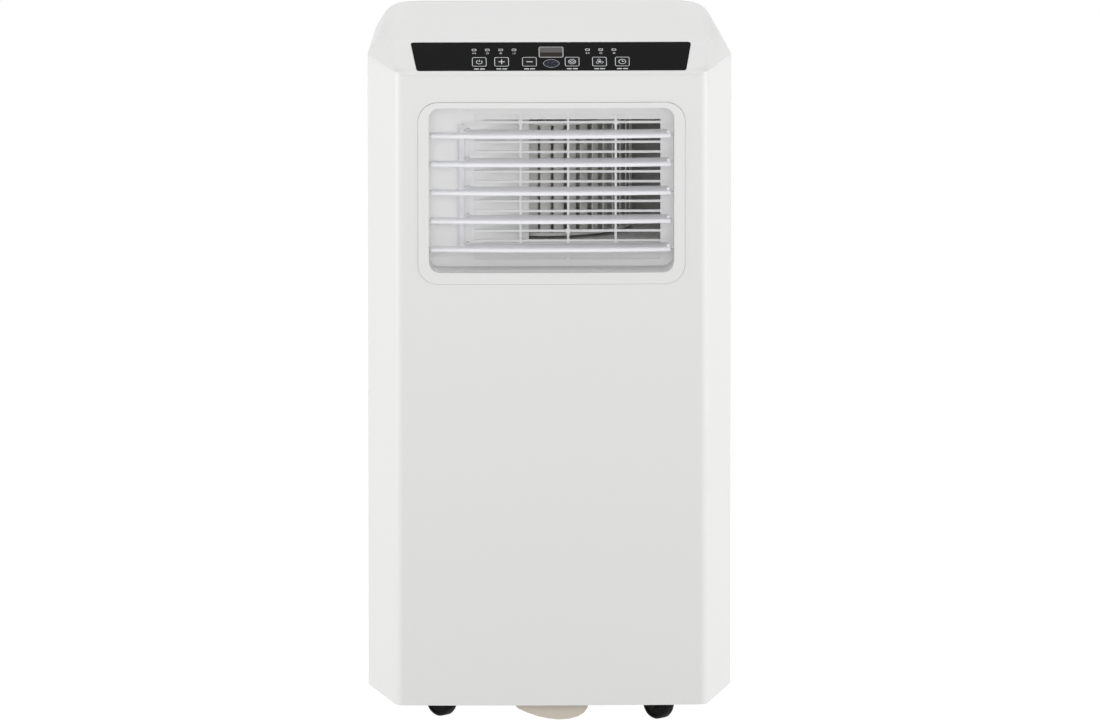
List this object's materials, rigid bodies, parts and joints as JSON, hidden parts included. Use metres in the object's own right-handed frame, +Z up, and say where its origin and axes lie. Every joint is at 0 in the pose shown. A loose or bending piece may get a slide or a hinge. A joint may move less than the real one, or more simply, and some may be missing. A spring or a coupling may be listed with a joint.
{
  "type": "portable air conditioner",
  "caption": "Upright portable air conditioner on swivel castors, with tilting outlet louvres, a sloping push-button panel, rear filter and hose outlet, and coils, fans and compressor inside.",
  "frame": {"origin": "on the floor below the centre of the bounding box", "axes": "+X to the right seen from the front, +Y to the rear, +Z up"},
  "size_m": [0.3682, 0.3316, 0.7],
  "materials": {
    "white_cabinet": "satin",
    "louvre_plastic": "satin",
    "pan_plastic": "natural, unpainted",
    "inner_plastic": "matt",
    "dark_panel": "polished",
    "button_plastic": "satin",
    "display_lens": "polished",
    "receiver_lens": "polished",
    "indicator_lens": "polished",
    "circuit_board": "lacquered",
    "coil_fins": "brushed",
    "copper": "bare copper",
    "painted_steel": "satin paint",
    "rubber_parts": "matt",
    "motor_steel": "zinc plated",
    "shaft_steel": "ground",
    "screw_steel": "zinc plated",
    "impeller_plastic": "matt",
    "net_plastic": "woven net",
    "castor_fork_plastic": "satin",
    "castor_wheel_plastic": "satin"
  },
  "bodies": {
    "cabinet": {"base_pan": "pan_plastic", "front_shell": "white_cabinet", "rear_shell": "white_cabinet", "side_panel_left": "white_cabinet", "side_panel_right": "white_cabinet", "top_cover": "white_cabinet", "side_handles": "white_cabinet", "outlet_bezel": "white_cabinet", "outlet_guard": "louvre_plastic", "control_fascia": "dark_panel", "display_window": "display_lens", "receiver_window": "receiver_lens", "indicator_lenses": "indicator_lens", "control_board": "circuit_board", "mid_deck": "inner_plastic", "evaporator_fins": "coil_fins", "condenser_fins": "coil_fins", "coil_tubes": "copper", "compressor": "painted_steel", "compressor_feet": "rubber_parts", "accumulator": "painted_steel", "refrigerant_lines": "copper", "upper_scroll": "louvre_plastic", "lower_scroll": "inner_plastic", "scroll_lids": "louvre_plastic", "fan_motor": "motor_steel", "exhaust_duct": "inner_plastic", "exhaust_collar": "white_cabinet", "lower_grille": "white_cabinet", "electrical_box": "inner_plastic", "cord_gland": "rubber_parts", "drain_spouts": "inner_plastic", "case_screws": "screw_steel"},
    "louvre_1": {"louvre_blade_1": "louvre_plastic"},
    "louvre_2": {"louvre_blade_2": "louvre_plastic"},
    "louvre_3": {"louvre_blade_3": "louvre_plastic"},
    "louvre_4": {"louvre_blade_4": "louvre_plastic"},
    "louvre_5": {"louvre_blade_5": "louvre_plastic"},
    "louvre_rod": {"louvre_link": "louvre_plastic"},
    "key_power": {"button_power": "button_plastic"},
    "key_warmer": {"button_warmer": "button_plastic"},
    "key_cooler": {"button_cooler": "button_plastic"},
    "key_mode": {"button_mode": "button_plastic"},
    "key_speed": {"button_speed": "button_plastic"},
    "key_timer": {"button_timer": "button_plastic"},
    "fan": {"fan_shaft": "shaft_steel", "upper_impeller": "impeller_plastic", "lower_impeller": "impeller_plastic"},
    "filter": {"filter_frame": "white_cabinet", "filter_net": "net_plastic"},
    "plug_upper": {"upper_drain_plug": "rubber_parts"},
    "plug_lower": {"lower_drain_plug": "rubber_parts"},
    "fork_1": {"castor_fork_1": "castor_fork_plastic"},
    "wheel_1": {"castor_wheel_1": "castor_wheel_plastic"},
    "fork_2": {"castor_fork_2": "castor_fork_plastic"},
    "wheel_2": {"castor_wheel_2": "castor_wheel_plastic"},
    "fork_3": {"castor_fork_3": "castor_fork_plastic"},
    "wheel_3": {"castor_wheel_3": "castor_wheel_plastic"},
    "fork_4": {"castor_fork_4": "castor_fork_plastic"},
    "wheel_4": {"castor_wheel_4": "castor_wheel_plastic"}
  },
  "joints": [
    {"name": "louvre_tilt_1", "type": "hinge", "parent": "cabinet", "child": "louvre_1", "pos_m": [0, -0.143, 0.609], "axis": [1, 0, 0], "range_deg": [-30, 56]},
    {"name": "louvre_tilt_2", "type": "hinge", "parent": "cabinet", "child": "louvre_2", "pos_m": [0, -0.143, 0.58], "axis": [1, 0, 0], "range_deg": [-30, 56]},
    {"name": "louvre_tilt_3", "type": "hinge", "parent": "cabinet", "child": "louvre_3", "pos_m": [0, -0.143, 0.551], "axis": [1, 0, 0], "range_deg": [-30, 56]},
    {"name": "louvre_tilt_4", "type": "hinge", "parent": "cabinet", "child": "louvre_4", "pos_m": [0, -0.143, 0.522], "axis": [1, 0, 0], "range_deg": [-30, 56]},
    {"name": "louvre_tilt_5", "type": "hinge", "parent": "cabinet", "child": "louvre_5", "pos_m": [0, -0.143, 0.493], "axis": [1, 0, 0], "range_deg": [-30, 56]},
    {"name": "louvre_rod_pivot", "type": "hinge", "parent": "louvre_1", "child": "louvre_rod", "pos_m": [-0.09, -0.13203, 0.60977], "axis": [1, 0, 0], "range_deg": [-60, 34]},
    {"name": "press_power", "type": "slide", "parent": "cabinet", "child": "key_power", "axis": [0, 0.5145, -0.8575], "range_m": [0, 0.0008], "stiffness_N_per_m": 600},
    {"name": "press_warmer", "type": "slide", "parent": "cabinet", "child": "key_warmer", "axis": [0, 0.5145, -0.8575], "range_m": [0, 0.0008], "stiffness_N_per_m": 600},
    {"name": "press_cooler", "type": "slide", "parent": "cabinet", "child": "key_cooler", "axis": [0, 0.5145, -0.8575], "range_m": [0, 0.0008], "stiffness_N_per_m": 600},
    {"name": "press_mode", "type": "slide", "parent": "cabinet", "child": "key_mode", "axis": [0, 0.5145, -0.8575], "range_m": [0, 0.0008], "stiffness_N_per_m": 600},
    {"name": "press_speed", "type": "slide", "parent": "cabinet", "child": "key_speed", "axis": [0, 0.5145, -0.8575], "range_m": [0, 0.0008], "stiffness_N_per_m": 600},
    {"name": "press_timer", "type": "slide", "parent": "cabinet", "child": "key_timer", "axis": [0, 0.5145, -0.8575], "range_m": [0, 0.0008], "stiffness_N_per_m": 600},
    {"name": "fan_spin", "type": "hinge", "parent": "cabinet", "child": "fan", "pos_m": [-0.005, -0.01, 0.45], "axis": [0, 0, 1], "continuous": true},
    {"name": "filter_slide", "type": "slide", "parent": "cabinet", "child": "filter", "axis": [0, 1, 0], "range_m": [0, 0.06]},
    {"name": "upper_plug_pull", "type": "slide", "parent": "cabinet", "child": "plug_upper", "axis": [0, 1, 0], "range_m": [0, 0.02]},
    {"name": "lower_plug_pull", "type": "slide", "parent": "cabinet", "child": "plug_lower", "axis": [0, 1, 0], "range_m": [0, 0.02]},
    {"name": "castor_swivel_1", "type": "hinge", "parent": "cabinet", "child": "fork_1", "pos_m": [-0.1, -0.082, 0.05], "axis": [0, 0, 1], "continuous": true},
    {"name": "castor_roll_1", "type": "hinge", "parent": "fork_1", "child": "wheel_1", "pos_m": [-0.1099, -0.0721, 0.0165], "axis": [-0.7071, -0.7071, 0], "continuous": true},
    {"name": "castor_swivel_2", "type": "hinge", "parent": "cabinet", "child": "fork_2", "pos_m": [0.1, -0.082, 0.05], "axis": [0, 0, 1], "continuous": true},
    {"name": "castor_roll_2", "type": "hinge", "parent": "fork_2", "child": "wheel_2", "pos_m": [0.1099, -0.0919, 0.0165], "axis": [0.7071, 0.7071, 0], "continuous": true},
    {"name": "castor_swivel_3", "type": "hinge", "parent": "cabinet", "child": "fork_3", "pos_m": [-0.1, 0.105, 0.05], "axis": [0, 0, 1], "continuous": true},
    {"name": "castor_roll_3", "type": "hinge", "parent": "fork_3", "child": "wheel_3", "pos_m": [-0.08684, 0.10979, 0.0165], "axis": [-0.342, 0.9397, 0], "continuous": true},
    {"name": "castor_swivel_4", "type": "hinge", "parent": "cabinet", "child": "fork_4", "pos_m": [0.1, 0.105, 0.05], "axis": [0, 0, 1], "continuous": true},
    {"name": "castor_roll_4", "type": "hinge", "parent": "fork_4", "child": "wheel_4", "pos_m": [0.08684, 0.10979, 0.0165], "axis": [-0.342, -0.9397, 0], "continuous": true}
  ],
  "couplings": [
    {"joint": "louvre_tilt_2", "follows": "louvre_tilt_1", "ratio": 1},
    {"joint": "louvre_tilt_3", "follows": "louvre_tilt_1", "ratio": 1},
    {"joint": "louvre_tilt_4", "follows": "louvre_tilt_1", "ratio": 1},
    {"joint": "louvre_tilt_5", "follows": "louvre_tilt_1", "ratio": 1},
    {"joint": "louvre_rod_pivot", "follows": "louvre_tilt_1", "ratio": -1}
  ]
}
